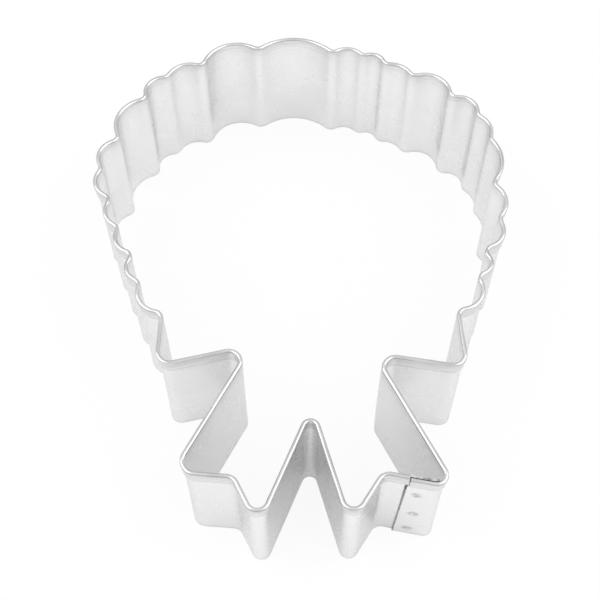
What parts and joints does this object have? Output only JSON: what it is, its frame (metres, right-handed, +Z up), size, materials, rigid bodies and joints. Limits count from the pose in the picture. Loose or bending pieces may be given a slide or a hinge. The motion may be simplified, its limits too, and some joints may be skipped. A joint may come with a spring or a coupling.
{
  "type": "cookie cutter",
  "caption": "Bright tinplate cookie cutter in the shape of an award ribbon, a scalloped rosette with two notched tails and a hemmed rim.",
  "frame": {"origin": "under the middle of the cutter's box, on the plane of the cutting edge", "axes": "+Z up from the cutting edge to the hemmed rim, +Y from the ribbon tails to the rosette, +X to the side of the lapped seam"},
  "size_m": [0.08, 0.105, 0.025],
  "materials": {
    "tinplate": "bright tin plate, lightly rolled grain",
    "weld": "pressed and slightly dulled tin plate"
  },
  "bodies": {
    "root": {"cutter_strip": "tinplate", "spot_weld_upper": "weld", "spot_weld_middle": "weld", "spot_weld_lower": "weld"}
  },
  "joints": []
}
